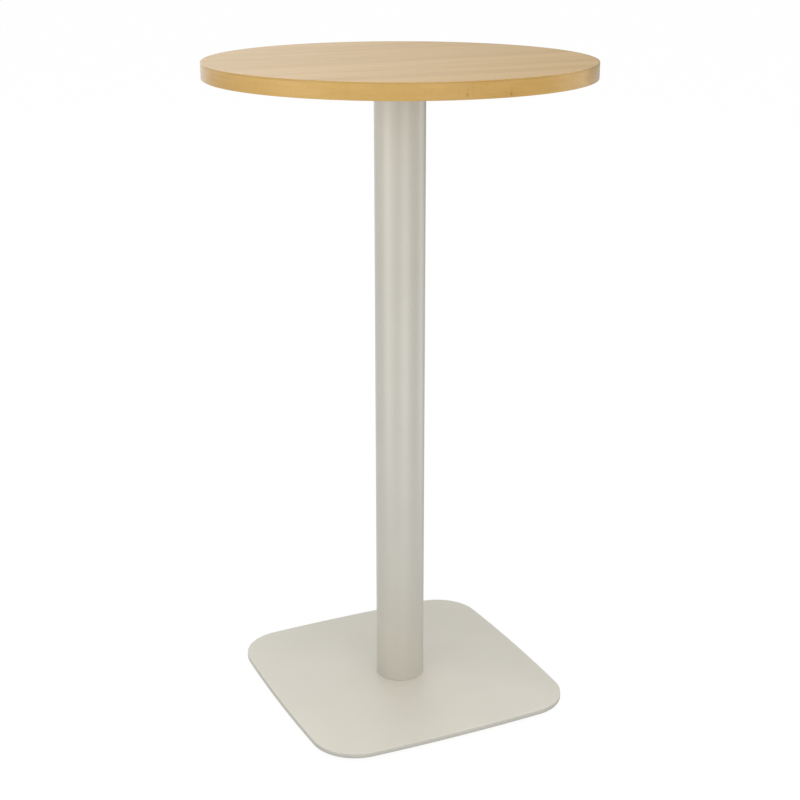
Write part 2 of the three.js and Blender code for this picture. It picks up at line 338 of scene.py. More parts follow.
def hexagon(across_flats, low, high):
    """A bmesh of a prism with six sides."""
    radius = across_flats / 2 / math.cos(math.pi / 6)
    return turned([(0, low), (radius, low), (radius, high), (0, high)], 6)


def evaluated_mesh(piece, name):
    """The mesh that a piece has after its modifiers."""
    graph = bpy.context.evaluated_depsgraph_get()
    mesh = bpy.data.meshes.new_from_object(piece.evaluated_get(graph))
    mesh.name = name
    return mesh


def carved(name, build, tools, operation="DIFFERENCE", sharp=30.0):
    """A mesh of one bmesh after other bmeshes are taken from it or shared with it."""
    piece = new_piece(name, to_mesh(name, build))
    others = []
    for i, tool in enumerate(tools):
        other = new_piece(f"{name}_tool_{i}", to_mesh(f"{name}_tool_{i}", tool))
        modifier = piece.modifiers.new(f"Cut {i}", "BOOLEAN")
        modifier.operation = operation
        modifier.solver = "EXACT"
        modifier.object = other
        others.append(other)
    bpy.context.view_layer.update()
    mesh = evaluated_mesh(piece, name)
    for spare in [piece, *others]:
        bpy.data.objects.remove(spare)
    mend(mesh)
    shade(mesh, sharp)
    return mesh


def mend(mesh):
    """Joins the points that a cut left almost in one place."""
    build = bmesh.new()
    build.from_mesh(mesh)
    bmesh.ops.remove_doubles(build, verts=build.verts, dist=SAME_PLACE)
    bmesh.ops.dissolve_degenerate(build, edges=build.edges, dist=SAME_PLACE)
    build.to_mesh(mesh)
    build.free()


def moved(build, place):
    """The bmesh shifted to a place."""
    bmesh.ops.translate(build, verts=build.verts, vec=place)
    return build


def upended(build):
    """The bmesh turned upside down."""
    bmesh.ops.rotate(build, verts=build.verts, matrix=Matrix.Rotation(math.pi, 3, "X"))
    return build


def drill(radius, low, high):
    """A bmesh of a round hole on the Z axis."""
    return turned([(0, low), (radius, low), (radius, high), (0, high)], 40)


def countersunk_tool(head, shank, depth):
    """A bmesh of a countersunk hole that opens downwards at height 0."""
    profile = [(0, -OVERCUT), (head, -OVERCUT), (head, 0), (shank, head - shank)]
    profile += [(shank, depth + OVERCUT), (0, depth + OVERCUT)]
    return turned(profile, 48)


def finish_piece(name, mesh, material, body, slot, *nodes):
    """A finished piece that stands for CAD nodes and rides on their body."""
    piece = new_piece(name, mesh)
    mesh.materials.clear()
    mesh.materials.append(material)
    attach(piece, body)
    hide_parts(*nodes)
    return piece


def refinish(material, *nodes):
    """CAD nodes that keep their shape get a better material."""
    for node in nodes:
        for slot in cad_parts[node].material_slots:
            slot.material = material


def numbered(stem, count):
    """The names of a row of like nodes, counted from one."""
    return [f"{stem}_{i}" for i in range(1, count + 1)]


def middle(node):
    """The middle of a CAD node's box, as x, y and its lowest and highest points."""
    low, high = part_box(node)
    return (low.x + high.x) / 2, (low.y + high.y) / 2, low.z, high.z


def width_of(node):
    """The width of a CAD node's box along X."""
    low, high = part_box(node)
    return high.x - low.x


def screw_holes(table, low, high):
    """Tools for the holes that the spider's screws pass through."""
    radius = table.fastener.screw / 2 + table.steel.hole_clearance
    tools = []
    for node in numbered("spider_screw", 2 * CORNERS):
        x, y, *_ = middle(node)
        tools.append(moved(drill(radius, low - OVERCUT, high + OVERCUT), (x, y, 0)))
    return tools


# Shader building


class Nodes:
    """A short way to add and join nodes of one tree."""

    def __init__(self, tree):
        self.tree = tree

    def add(self, kind, **values):
        """A new node with its properties set."""
        node = self.tree.nodes.new(kind)
        for name, value in values.items():
            setattr(node, name, value)
        return node

    def join(self, source, target):
        """A link from an output to an input."""
        self.tree.links.new(source, target)

    def feed(self, target, value):
        """An input takes a link from a socket, or else a plain value."""
        if isinstance(value, bpy.types.NodeSocket):
            self.join(value, target)
        else:
            target.default_value = value

    def math(self, operation, first, second=0.0, clamp=False):
        """The result of one sum."""
        node = self.add("ShaderNodeMath", operation=operation, use_clamp=clamp)
        self.feed(node.inputs[0], first)
        self.feed(node.inputs[1], second)
        return node.outputs[0]

    def stretch(self, vector, scale, place=(0, 0, 0)):
        """Coordinates scaled by three numbers and shifted."""
        node = self.add("ShaderNodeMapping")
        self.feed(node.inputs["Vector"], vector)
        node.inputs["Scale"].default_value = scale
        node.inputs["Location"].default_value = place
        return node.outputs["Vector"]

    def noise(self, vector, scale, detail=3.0, roughness=0.5, distortion=0.0):
        """Soft noise from 0 to 1."""
        node = self.add("ShaderNodeTexNoise")
        self.feed(node.inputs["Vector"], vector)
        self.feed(node.inputs["Scale"], scale)
        node.inputs["Detail"].default_value = detail
        node.inputs["Roughness"].default_value = roughness
        node.inputs["Distortion"].default_value = distortion
        return node.outputs["Fac"]

    def spread(self, value, low, high, to_low=0.0, to_high=1.0):
        """A value moved smoothly from one range to another."""
        node = self.add("ShaderNodeMapRange", interpolation_type="SMOOTHSTEP")
        self.feed(node.inputs["Value"], value)
        node.inputs["From Min"].default_value = low
        node.inputs["From Max"].default_value = high
        node.inputs["To Min"].default_value = to_low
        node.inputs["To Max"].default_value = to_high
        return node.outputs["Result"]

    def mix(self, share_of_second, first, second, blend="MIX"):
        """A colour between two others."""
        node = self.add("ShaderNodeMix", data_type="RGBA", blend_type=blend)
        self.feed(node.inputs["Factor"], share_of_second)
        for socket, value in ((node.inputs[6], first), (node.inputs[7], second)):
            self.feed(socket, value if isinstance(value, bpy.types.NodeSocket) else (*value, 1.0))
        return node.outputs[2]

    def group(self, tree, **inputs):
        """A shader group placed in this tree with its own values."""
        node = self.add("ShaderNodeGroup", node_tree=tree)
        for name, value in inputs.items():
            self.feed(node.inputs[name.replace("_", " ").capitalize()], value)
        return node

    def bump(self, height, strength, distance, normal=None):
        """A normal tilted by a height."""
        node = self.add("ShaderNodeBump")
        self.feed(node.inputs["Height"], height)
        node.inputs["Strength"].default_value = strength
        node.inputs["Distance"].default_value = distance
        if normal is not None:
            self.join(normal, node.inputs["Normal"])
        return node.outputs["Normal"]


def new_group(name, inputs, outputs):
    """An empty shader group with named float or vector inputs and float outputs."""
    tree = bpy.data.node_groups.new(name, "ShaderNodeTree")
    for label, kind in inputs:
        tree.interface.new_socket(label, in_out="INPUT", socket_type=kind)
    for label in outputs:
        tree.interface.new_socket(label, in_out="OUTPUT", socket_type="NodeSocketFloat")
    nodes = Nodes(tree)
    return tree, nodes, nodes.add("NodeGroupInput"), nodes.add("NodeGroupOutput")


def wood_grain_group():
    """Long streaks, broad figure and short pores along the first axis of the coordinates."""
    tree, nodes, given, made = new_group(
        "Wood grain",
        [("Vector", "NodeSocketVector")],
        ["Streaks", "Figure", "Pores"],
    )
    along = given.outputs["Vector"]
    broad = nodes.noise(nodes.stretch(along, (1.6, 28, 28)), 1.0, 4.0, 0.55, 0.5)
    fine = nodes.noise(nodes.stretch(along, (7, 420, 420)), 1.0, 5.0, 0.6, 0.15)
    hair = nodes.noise(nodes.stretch(along, (22, 1900, 1900)), 1.0, 2.0, 0.5)
    pores = nodes.noise(nodes.stretch(along, (150, 2600, 2600)), 1.0, 2.0, 0.5)
    mixed = nodes.math("ADD", nodes.math("MULTIPLY", fine, 0.65), nodes.math("MULTIPLY", hair, 0.35))
    nodes.join(nodes.spread(mixed, 0.34, 0.66), made.inputs["Streaks"])
    nodes.join(nodes.spread(broad, 0.3, 0.7), made.inputs["Figure"])
    nodes.join(nodes.spread(pores, 0.58, 0.70), made.inputs["Pores"])
    return tree


def pin_knot_group():
    """A pin knot at a place on the unrolled band: a dark eye with a faint mark that rises from it."""
    tree, nodes, given, made = new_group(
        "Pin knot",
        [("Vector", "NodeSocketVector"), ("Place", "NodeSocketVector")],
        ["Mark"],
    )
    off = nodes.add("ShaderNodeVectorMath", operation="SUBTRACT")
    nodes.join(given.outputs["Vector"], off.inputs[0])
    nodes.join(given.outputs["Place"], off.inputs[1])
    eye = nodes.add("ShaderNodeVectorMath", operation="LENGTH")
    nodes.join(nodes.stretch(off.outputs["Vector"], (1.0, 0.8, 0.0)), eye.inputs[0])
    tail = nodes.add("ShaderNodeVectorMath", operation="LENGTH")
    nodes.join(nodes.stretch(off.outputs["Vector"], (1.0, 0.22, 0.0), (0.0, -0.0012, 0.0)), tail.inputs[0])
    dark = nodes.spread(eye.outputs["Value"], 0.0008, 0.0030, 1.0, 0.0)
    faint = nodes.spread(tail.outputs["Value"], 0.0, 0.0026, 0.2, 0.0)
    nodes.join(nodes.math("MAXIMUM", dark, faint), made.inputs["Mark"])
    return tree


def surface_group():
    """Fine unevenness of a coated or moulded surface, with soft clouds over a hand's width."""
    tree, nodes, given, made = new_group(
        "Surface texture",
        [("Vector", "NodeSocketVector"), ("Scale", "NodeSocketFloat")],
        ["Peel", "Clouds", "Specks"],
    )
    vector = given.outputs["Vector"]
    scale = given.outputs["Scale"]
    peel = nodes.noise(vector, scale, 2.0, 0.5)
    specks = nodes.noise(vector, nodes.math("MULTIPLY", scale, 4.3), 1.0, 0.5)
    nodes.join(peel, made.inputs["Peel"])
    nodes.join(nodes.noise(vector, 9.0, 3.0, 0.55), made.inputs["Clouds"])
    nodes.join(nodes.spread(specks, 0.66, 0.76), made.inputs["Specks"])
    return tree


def group_named(name, build):
    """A node group that is built the first time it is asked for."""
    return bpy.data.node_groups.get(name) or build()


def new_material(name):
    """A material with a Principled surface, its nodes and its Object coordinates."""
    material = bpy.data.materials.new(name)
    material.use_nodes = True
    nodes = Nodes(material.node_tree)
    surface = material.node_tree.nodes["Principled BSDF"]
    place = nodes.add("ShaderNodeTexCoord").outputs["Object"]
    return material, nodes, surface, place


def material_named(name, build, *values):
    """A material that is built the first time it is asked for."""
    return bpy.data.materials.get(name) or build(name, *values)


def face_veneer(name, settings):
    """Lacquered veneer with straight grain along X."""
    material, nodes, surface, place = new_material(name)
    grain = nodes.group(group_named("Wood grain", wood_grain_group), vector=place)
    tone = nodes.math("ADD", nodes.math("MULTIPLY", grain.outputs["Streaks"], 0.45),
                      nodes.math("MULTIPLY", grain.outputs["Figure"], 0.55))
    base = nodes.mix(tone, tuple(settings.face_pale), tuple(settings.face_deep))
    pores = nodes.math("MULTIPLY", grain.outputs["Pores"], 0.42)
    nodes.join(nodes.mix(pores, base, tuple(settings.knot)), surface.inputs["Base Color"])
    rough = nodes.spread(grain.outputs["Streaks"], 0.0, 1.0, settings.face_gloss - 0.04, settings.face_gloss + 0.06)
    nodes.join(rough, surface.inputs["Roughness"])
    nodes.join(nodes.bump(grain.outputs["Streaks"], 0.08, 0.0002), surface.inputs["Normal"])
    return material


def edge_veneer(name, settings, radius):
    """Lacquered edge band with its grain along the rim, pin knots and faint cross marks."""
    material, nodes, surface, place = new_material(name)
    rim = nodes.add("ShaderNodeUVMap", uv_map="Rim").outputs["UV"]
    grain = nodes.group(group_named("Wood grain", wood_grain_group), vector=rim)
    clouds = nodes.noise(nodes.stretch(rim, (14, 60, 1), (3.7, 0, 0)), 1.0, 3.0, 0.55, 0.6)
    drift = nodes.noise(nodes.stretch(rim, (3.5, 6, 1), (13.0, 0, 0)), 1.0, 1.0)
    cross = nodes.noise(nodes.stretch(rim, (130, 12, 1)), 1.0, 2.0, 0.5)
    tone = nodes.math("ADD", nodes.math("MULTIPLY", grain.outputs["Streaks"], 0.3),
                      nodes.spread(clouds, 0.3, 0.7, 0.05, 0.4))
    tone = nodes.math("ADD", tone, nodes.spread(drift, 0.35, 0.65, 0.0, 0.45))
    tone = nodes.math("ADD", tone, nodes.spread(cross, 0.5, 0.8, 0.0, 0.12), clamp=True)
    base = nodes.mix(tone, tuple(settings.band_pale), tuple(settings.band_deep))
    pores = nodes.math("MULTIPLY", grain.outputs["Pores"], 0.25)
    for turn, height, strength in PIN_KNOTS:
        knot = nodes.group(group_named("Pin knot", pin_knot_group), vector=rim,
                           place=(math.radians(turn) * radius, height, 0.0))
        pores = nodes.math("MAXIMUM", pores, nodes.math("MULTIPLY", knot.outputs["Mark"], strength))
    base = nodes.mix(pores, base, tuple(settings.knot))
    height = nodes.add("ShaderNodeSeparateXYZ")
    nodes.join(rim, height.inputs[0])
    # A darker strip on the band's side, just below its top arris.
    dark_strip_below_arris = nodes.math("MULTIPLY", nodes.spread(height.outputs["Y"], 0.0215, 0.0230, 0.0, 1.0),
                      nodes.spread(height.outputs["Y"], 0.0242, 0.0250, 1.0, 0.0))
    base = nodes.mix(nodes.math("MULTIPLY", dark_strip_below_arris, 0.22), base, tuple(settings.knot))
    flat = nodes.group(group_named("Wood grain", wood_grain_group), vector=place)
    face_tone = nodes.math("ADD", nodes.math("MULTIPLY", flat.outputs["Streaks"], 0.45),
                           nodes.math("MULTIPLY", flat.outputs["Figure"], 0.55))
    face = nodes.mix(face_tone, tuple(settings.face_pale), tuple(settings.face_deep))
    facing = nodes.add("ShaderNodeSeparateXYZ")
    nodes.join(nodes.add("ShaderNodeNewGeometry").outputs["Normal"], facing.inputs[0])
    upward = nodes.spread(nodes.math("ABSOLUTE", facing.outputs["Z"]), 0.55, 0.9)
    nodes.join(nodes.mix(upward, base, face), surface.inputs["Base Color"])
    rough = nodes.spread(grain.outputs["Streaks"], 0.0, 1.0, settings.band_gloss - 0.02, settings.band_gloss + 0.03)
    nodes.join(rough, surface.inputs["Roughness"])
    nodes.join(nodes.bump(grain.outputs["Streaks"], 0.08, 0.0002), surface.inputs["Normal"])
    return material


def chipboard(name, settings):
    """Raw pressed chips."""
    material, nodes, surface, place = new_material(name)
    chips = nodes.add("ShaderNodeTexVoronoi", feature="F1")
    nodes.join(nodes.stretch(place, (180, 420, 700)), chips.inputs["Vector"])
    chips.inputs["Scale"].default_value = 1.0
    tone = nodes.add("ShaderNodeSeparateColor")
    nodes.join(chips.outputs["Color"], tone.inputs["Color"])
    base = nodes.mix(tone.outputs[0], tuple(settings.face_pale), tuple(settings.knot))
    nodes.join(base, surface.inputs["Base Color"])
    nodes.join(nodes.spread(tone.outputs[1], 0.0, 1.0, 0.75, 0.95), surface.inputs["Roughness"])
    nodes.join(nodes.bump(chips.outputs["Distance"], 0.5, 0.0004), surface.inputs["Normal"])
    return material


def painted_steel(name, paint, gloss):
    """Satin powder coat with a fine peel."""
    material, nodes, surface, place = new_material(name)
    texture = nodes.group(group_named("Surface texture", surface_group), vector=place, scale=900.0)
    paint = Vector(paint)
    base = nodes.mix(
        nodes.spread(texture.outputs["Clouds"], 0.3, 0.7), tuple(paint * 0.985), tuple(paint * 1.01)
    )
    specks = nodes.math("MULTIPLY", texture.outputs["Specks"], 0.1)
    nodes.join(nodes.mix(specks, base, tuple(paint * 0.6)), surface.inputs["Base Color"])
    surface.inputs["Metallic"].default_value = 0.4
    nodes.join(nodes.spread(texture.outputs["Peel"], 0.3, 0.7, gloss - 0.03, gloss + 0.03), surface.inputs["Roughness"])
    nodes.join(nodes.bump(texture.outputs["Peel"], 0.3, 0.00012), surface.inputs["Normal"])
    return material


def zinc_plate(name, settings):
    """Bright zinc plating with a slight crystal bloom."""
    material, nodes, surface, place = new_material(name)
    texture = nodes.group(group_named("Surface texture", surface_group), vector=place, scale=2400.0)
    zinc = Vector(settings.zinc)
    base = nodes.mix(texture.outputs["Peel"], tuple(zinc * 0.9), tuple(zinc * 1.06))
    nodes.join(base, surface.inputs["Base Color"])
    surface.inputs["Metallic"].default_value = 1.0
    nodes.join(nodes.spread(texture.outputs["Peel"], 0.3, 0.7, 0.26, 0.42), surface.inputs["Roughness"])
    nodes.join(nodes.bump(texture.outputs["Peel"], 0.1, 0.00005), surface.inputs["Normal"])
    return material


def turned_steel(name, settings):
    """Bare steel with the rings that a lathe leaves."""
    material, nodes, surface, place = new_material(name)
    rings = nodes.add("ShaderNodeTexWave", wave_type="RINGS", rings_direction="Z")
    nodes.join(place, rings.inputs["Vector"])
    rings.inputs["Scale"].default_value = 900.0
    rings.inputs["Distortion"].default_value = 0.4
    bare = Vector(settings.bare)
    base = nodes.mix(rings.outputs["Fac"], tuple(bare * 0.9), tuple(bare * 1.1))
    nodes.join(base, surface.inputs["Base Color"])
    surface.inputs["Metallic"].default_value = 1.0
    nodes.join(nodes.spread(rings.outputs["Fac"], 0.0, 1.0, 0.3, 0.42), surface.inputs["Roughness"])
    nodes.join(nodes.bump(rings.outputs["Fac"], 0.1, 0.0001), surface.inputs["Normal"])
    return material


def moulded_nylon(name, settings):
    """Matt moulded nylon with a spark-eroded texture."""
    material, nodes, surface, place = new_material(name)
    texture = nodes.group(group_named("Surface texture", surface_group), vector=place, scale=1500.0)
    nylon = Vector(settings.nylon)
    base = nodes.mix(texture.outputs["Clouds"], tuple(nylon * 0.85), tuple(nylon * 1.2))
    nodes.join(base, surface.inputs["Base Color"])
    nodes.join(nodes.spread(texture.outputs["Peel"], 0.3, 0.7, 0.5, 0.66), surface.inputs["Roughness"])
    nodes.join(nodes.bump(texture.outputs["Peel"], 0.25, 0.0001), surface.inputs["Normal"])
    return material


# Geometry node trees


def copies_tree():
    """Copies of one shape on the points of a mesh, each turned by chance about its own axis."""
    tree = bpy.data.node_groups.new("Copies on points", "GeometryNodeTree")
    for label, kind in (
        ("Points", "NodeSocketGeometry"),
        ("Shape", "NodeSocketObject"),
        ("Turn", "NodeSocketFloat"),
        ("Seed", "NodeSocketInt"),
        ("Finish", "NodeSocketMaterial"),
    ):
        tree.interface.new_socket(label, in_out="INPUT", socket_type=kind)
    tree.interface.new_socket("Copies", in_out="OUTPUT", socket_type="NodeSocketGeometry")
    nodes = Nodes(tree)
    given = nodes.add("NodeGroupInput")
    shape = nodes.add("GeometryNodeObjectInfo")
    nodes.join(given.outputs["Shape"], shape.inputs["Object"])
    chance = nodes.add("FunctionNodeRandomValue", data_type="FLOAT")
    nodes.join(given.outputs["Turn"], chance.inputs[3])
    nodes.join(given.outputs["Seed"], chance.inputs["Seed"])
    turn = nodes.add("ShaderNodeCombineXYZ")
    nodes.join(chance.outputs[1], turn.inputs["Z"])
    rotation = nodes.add("FunctionNodeEulerToRotation")
    nodes.join(turn.outputs[0], rotation.inputs[0])
    copies = nodes.add("GeometryNodeInstanceOnPoints")
    nodes.join(given.outputs["Points"], copies.inputs["Points"])
    nodes.join(shape.outputs["Geometry"], copies.inputs["Instance"])
    nodes.join(rotation.outputs[0], copies.inputs["Rotation"])
    real = nodes.add("GeometryNodeRealizeInstances")
    nodes.join(copies.outputs[0], real.inputs[0])
    finish = nodes.add("GeometryNodeSetMaterial")
    nodes.join(real.outputs[0], finish.inputs["Geometry"])
    nodes.join(given.outputs["Finish"], finish.inputs["Material"])
    nodes.join(finish.outputs[0], nodes.add("NodeGroupOutput").inputs[0])
    return tree


def thread_tree():
    """A screw thread: a shank with a ridge wound round it, standing on its lower end."""
    tree = bpy.data.node_groups.new("Screw thread", "GeometryNodeTree")
    for label, kind in (
        ("Start", "NodeSocketGeometry"),
        ("Core radius", "NodeSocketFloat"),
        ("Crest radius", "NodeSocketFloat"),
        ("Pitch", "NodeSocketFloat"),
        ("Length", "NodeSocketFloat"),
        ("Tip radius", "NodeSocketFloat"),
        ("Finish", "NodeSocketMaterial"),
    ):
        tree.interface.new_socket(label, in_out="INPUT", socket_type=kind)
    tree.interface.new_socket("Thread", in_out="OUTPUT", socket_type="NodeSocketGeometry")
    nodes = Nodes(tree)
    given = nodes.add("NodeGroupInput").outputs
    depth = nodes.math("SUBTRACT", given["Crest radius"], given["Core radius"])
    wound = nodes.math("SUBTRACT", given["Length"], given["Pitch"])
    spiral = nodes.add("GeometryNodeCurveSpiral")
    spiral.inputs["Resolution"].default_value = 24
    nodes.join(nodes.math("DIVIDE", wound, given["Pitch"]), spiral.inputs["Rotations"])
    nodes.join(given["Core radius"], spiral.inputs["Start Radius"])
    nodes.join(nodes.math("MINIMUM", given["Core radius"], given["Tip radius"]), spiral.inputs["End Radius"])
    nodes.join(wound, spiral.inputs["Height"])
    upright = nodes.add("GeometryNodeSetCurveNormal", mode="Z_UP")
    nodes.join(spiral.outputs[0], upright.inputs["Curve"])
    ridge = nodes.add("GeometryNodeCurvePrimitiveQuadrilateral", mode="KITE")
    half_ridge = nodes.math("MULTIPLY", given["Pitch"], 0.4)
    nodes.join(nodes.math("MULTIPLY", depth, 2.0), ridge.inputs["Width"])
    nodes.join(half_ridge, ridge.inputs["Bottom Height"])
    nodes.join(half_ridge, ridge.inputs["Top Height"])
    swept = nodes.add("GeometryNodeCurveToMesh")
    nodes.join(upright.outputs[0], swept.inputs["Curve"])
    nodes.join(ridge.outputs[0], swept.inputs["Profile Curve"])
    swept.inputs["Fill Caps"].default_value = True
    lifted = nodes.add("GeometryNodeTransform")
    nodes.join(swept.outputs[0], lifted.inputs["Geometry"])
    rise = nodes.add("ShaderNodeCombineXYZ")
    nodes.join(nodes.math("MULTIPLY", given["Pitch"], 0.5), rise.inputs["Z"])
    nodes.join(rise.outputs[0], lifted.inputs["Translation"])
    shank = nodes.add("GeometryNodeMeshCone")
    shank.inputs["Vertices"].default_value = 32
    nodes.join(given["Tip radius"], shank.inputs["Radius Top"])
    nodes.join(given["Core radius"], shank.inputs["Radius Bottom"])
    nodes.join(given["Length"], shank.inputs["Depth"])
    both = nodes.add("GeometryNodeJoinGeometry")
    nodes.join(lifted.outputs[0], both.inputs[0])
    nodes.join(shank.outputs["Mesh"], both.inputs[0])
    real = nodes.add("GeometryNodeRealizeInstances")
    nodes.join(both.outputs[0], real.inputs[0])
    finish = nodes.add("GeometryNodeSetMaterial")
    nodes.join(real.outputs[0], finish.inputs["Geometry"])
    nodes.join(given["Finish"], finish.inputs["Material"])
    nodes.join(finish.outputs[0], nodes.add("NodeGroupOutput").inputs[0])
    return tree


def grown(name, start, tree, **inputs):
    """The mesh that a geometry node tree makes from a start mesh and its named inputs."""
    piece = new_piece(name, start)
    modifier = piece.modifiers.new(tree.name, "NODES")
    modifier.node_group = tree
    for item in tree.interface.items_tree:
        key = item.name.lower().replace(" ", "_")
        if item.in_out == "INPUT" and key in inputs:
            modifier[item.identifier] = inputs[key]
    bpy.context.view_layer.update()
    mesh = evaluated_mesh(piece, name)
    piece.modifiers.remove(modifier)
    bpy.data.objects.remove(piece)
    return mesh


def points_mesh(name, places):
    """A mesh of loose points."""
    mesh = bpy.data.meshes.new(name)
    mesh.from_pydata([tuple(p) for p in places], [], [])
    return mesh


def thread_mesh(name, core, crest, pitch, reach, tip, finish):
    """A screw thread on a shank of a given length."""
    return grown(
        name,
        points_mesh(name, []),
        group_named("Screw thread", thread_tree),
        core_radius=core,
        crest_radius=crest,
        pitch=pitch,
        length=reach,
        tip_radius=tip,
        finish=finish,
    )


def copied(name, shape, places, finish, turn=2 * math.pi, seed=3):
    """One mesh of copies of a shape at places."""
    pattern = new_piece(f"{name}_pattern", shape)
    mesh = grown(
        name,
        points_mesh(name, places),
        group_named("Copies on points", copies_tree),
        shape=pattern,
        turn=turn,
        seed=seed,
        finish=finish,
    )
    bpy.data.objects.remove(pattern)
    shade(mesh)
    return mesh


def welded(name, *meshes):
    """Several meshes in one, with smooth shading."""
    build = bmesh.new()
    for mesh in meshes:
        build.from_mesh(mesh)
    joined = bpy.data.meshes.new(name)
    build.to_mesh(joined)
    build.free()
    shade(joined)
    return joined


class STANDING_TABLE_OT_stage(bpy.types.Operator):
    """Pale floor, soft studio light and the camera"""

    bl_idname = "standing_table.stage"
    bl_label = "Stage"

    def execute(self, context):
        settings = context.scene.standing_table.stage
        context.scene.view_settings.view_transform = "Standard"
        self.floor(settings)
        self.world(context, settings)
        self.lights(settings)
        self.camera(context, settings)
        return {"FINISHED"}

    def around(self, azimuth, distance, height):
        """A place round the table. Azimuth 0 is in front of it, on the -Y side."""
        return Vector((math.sin(azimuth) * distance, -math.cos(azimuth) * distance, height))

    def floor(self, settings):
        """A wide floor that is white to the camera and keeps a share of its shadow."""
        half = settings.floor_size / 2
        build = bmesh.new()
        build.faces.new([build.verts.new((x * half, y * half, 0)) for x, y in ((-1, -1), (1, -1), (1, 1), (-1, 1))])
        floor = new_piece("floor", to_mesh("floor", build))
        material = bpy.data.materials.new("Pale floor")
        material.use_nodes = True
        nodes = Nodes(material.node_tree)
        material.node_tree.nodes.remove(material.node_tree.nodes["Principled BSDF"])
        matt = nodes.add("ShaderNodeBsdfDiffuse")
        matt.inputs["Color"].default_value = (*settings.floor_colour, 1.0)
        white = nodes.add("ShaderNodeEmission")
        white.inputs["Strength"].default_value = settings.floor_glow
        path = nodes.add("ShaderNodeLightPath")
        seen = nodes.math("MAXIMUM", path.outputs["Is Camera Ray"], path.outputs["Is Transmission Ray"])
        mix = nodes.add("ShaderNodeMixShader")
        nodes.join(nodes.math("MULTIPLY", seen, 1.0 - settings.shadow), mix.inputs[0])
        nodes.join(matt.outputs[0], mix.inputs[1])
        nodes.join(white.outputs[0], mix.inputs[2])
        # Painted light: to diffuse rays the floor glows as its own bounce light instead of reflecting, and a painted
        # shade dims this glow within 8 cm of the base plate.
        corner = bpy.context.scene.standing_table.steel.plate_corner_radius
        away = self.off_plate(nodes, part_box("base_plate")[1].x - corner)
        bounce = nodes.add("ShaderNodeEmission")
        strength = nodes.spread(away, corner, corner + 0.08, settings.bounce_near, settings.bounce)
        nodes.join(strength, bounce.inputs["Strength"])
        thrown = nodes.add("ShaderNodeMixShader")
        nodes.join(path.outputs["Is Diffuse Ray"], thrown.inputs[0])
        nodes.join(mix.outputs[0], thrown.inputs[1])
        nodes.join(bounce.outputs[0], thrown.inputs[2])
        nodes.join(thrown.outputs[0], material.node_tree.nodes["Material Output"].inputs["Surface"])
        floor.data.materials.append(material)
        floor.visible_glossy = False

    def off_plate(self, nodes, straight):
        """How far a place on the floor is from the square between the plate's corner arcs."""
        place = nodes.add("ShaderNodeTexCoord").outputs["Object"]
        for operation, other in (("ABSOLUTE", 0.0), ("SUBTRACT", straight), ("MAXIMUM", 0.0)):
            node = nodes.add("ShaderNodeVectorMath", operation=operation)
            nodes.join(place, node.inputs[0])
            node.inputs[1].default_value = (other, other, other)
            place = node.outputs["Vector"]
        away = nodes.add("ShaderNodeVectorMath", operation="LENGTH")
        nodes.join(place, away.inputs[0])
        return away.outputs["Value"]

    def world(self, context, settings):
        """White to the camera, pale walls with a darker corner in reflections, and a soft even light."""
        world = bpy.data.worlds.new("Studio")
        context.scene.world = world
        world.use_nodes = True
        nodes = Nodes(world.node_tree)
        sky = world.node_tree.nodes["Background"]
        sky.inputs["Color"].default_value = (1.0, 1.0, 1.0, 1.0)
        path = nodes.add("ShaderNodeLightPath")
        direction = nodes.add("ShaderNodeTexCoord").outputs["Generated"]
        to_left = self.leaning(nodes, direction, settings.camera_azimuth - QUARTER_TURN)
        to_back = self.leaning(nodes, direction, settings.camera_azimuth + math.pi)
        height = nodes.add("ShaderNodeSeparateXYZ")
        nodes.join(direction, height.inputs[0])
        rise = height.outputs["Z"]
        walls = nodes.spread(to_left, -0.2, 0.2, settings.right_wall, settings.left_wall)
        corner = nodes.math("MULTIPLY", nodes.spread(to_left, -0.2, 0.2, 1.0, 0.0), nodes.spread(to_back, 0.2, 0.6))
        corner = nodes.math("MULTIPLY", corner, nodes.spread(rise, 0.2, 0.4, 1.0, 0.0))
        darker = nodes.math("MULTIPLY", corner, settings.right_wall - settings.corner)
        fade = nodes.math("SUBTRACT", walls, darker)
        fade = nodes.math("MULTIPLY", fade, nodes.spread(rise, -0.15, 0.05))
        low = nodes.spread(to_back, -0.85, -0.3, settings.low_front, settings.low_wall)
        behind = nodes.math("MULTIPLY", nodes.spread(to_back, 0.6, 0.95), nodes.spread(to_left, -0.12, 0.0))
        low = nodes.math("ADD", low, nodes.math("MULTIPLY", behind, settings.low_back - settings.low_wall))
        low = nodes.math("MULTIPLY", low, nodes.spread(rise, -0.15, 0.05, 1.0, 0.0))
        fade = nodes.math("ADD", fade, low)
        shiny = nodes.math("MULTIPLY", path.outputs["Is Glossy Ray"], fade)
        seen = nodes.math("MAXIMUM", path.outputs["Is Camera Ray"], path.outputs["Is Transmission Ray"])
        seen = nodes.math("MAXIMUM", seen, shiny)
        soft = nodes.math("MULTIPLY", path.outputs["Is Diffuse Ray"], settings.ambient)
        nodes.join(nodes.math("MAXIMUM", seen, soft), sky.inputs["Strength"])

    def leaning(self, nodes, direction, azimuth):
        """How far a direction leans towards one side of the room."""
        node = nodes.add("ShaderNodeVectorMath", operation="DOT_PRODUCT")
        nodes.join(direction, node.inputs[0])
        node.inputs[1].default_value = self.around(azimuth, 1.0, 0.0)
        return node.outputs["Value"]

